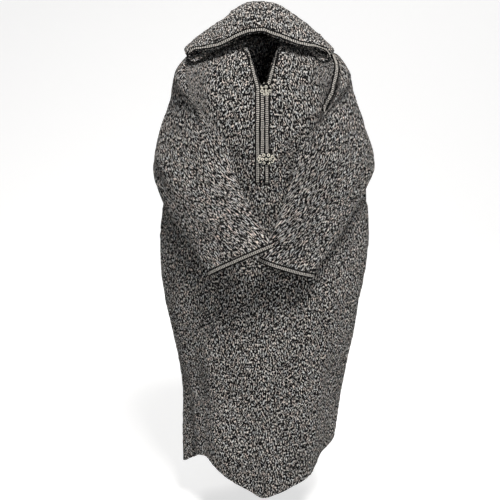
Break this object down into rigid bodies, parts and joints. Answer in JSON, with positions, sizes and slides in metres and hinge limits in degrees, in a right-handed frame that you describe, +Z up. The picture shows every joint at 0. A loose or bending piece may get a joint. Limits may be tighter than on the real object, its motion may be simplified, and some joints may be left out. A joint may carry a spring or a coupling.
{
  "type": "hooded wool robe",
  "caption": "Long hooded robe of hand-woven wool with wide sleeves, a slit neck with braided edges and knotted fastenings, hollow, in the form it has when worn.",
  "frame": {"origin": "midway between the two shoulder points, where the wearer's shoulders carry the robe", "axes": "+Z up, the front faces -Y, the wearer's left is +X"},
  "size_m": [0.6949, 0.5438, 1.5545],
  "materials": {
    "cloth": "rough hand-woven wool, dark and light yarns mixed",
    "braid": "flat woven braid, dark cords round a light stitched middle",
    "knot": "knotted cream and black cord"
  },
  "bodies": {
    "root": {"front_panel": "cloth", "back_panel": "cloth", "gore_left": "cloth", "gore_right": "cloth", "sleeve_left": "cloth", "sleeve_right": "cloth", "hood": "cloth", "cuff_braid_left": "braid", "cuff_braid_right": "braid", "hood_braid": "braid", "front_braid_left": "braid", "front_braid_right": "braid", "placket_strip": "braid", "armhole_braid": "braid", "knot_top": "knot", "knot_bottom": "knot"}
  },
  "joints": []
}
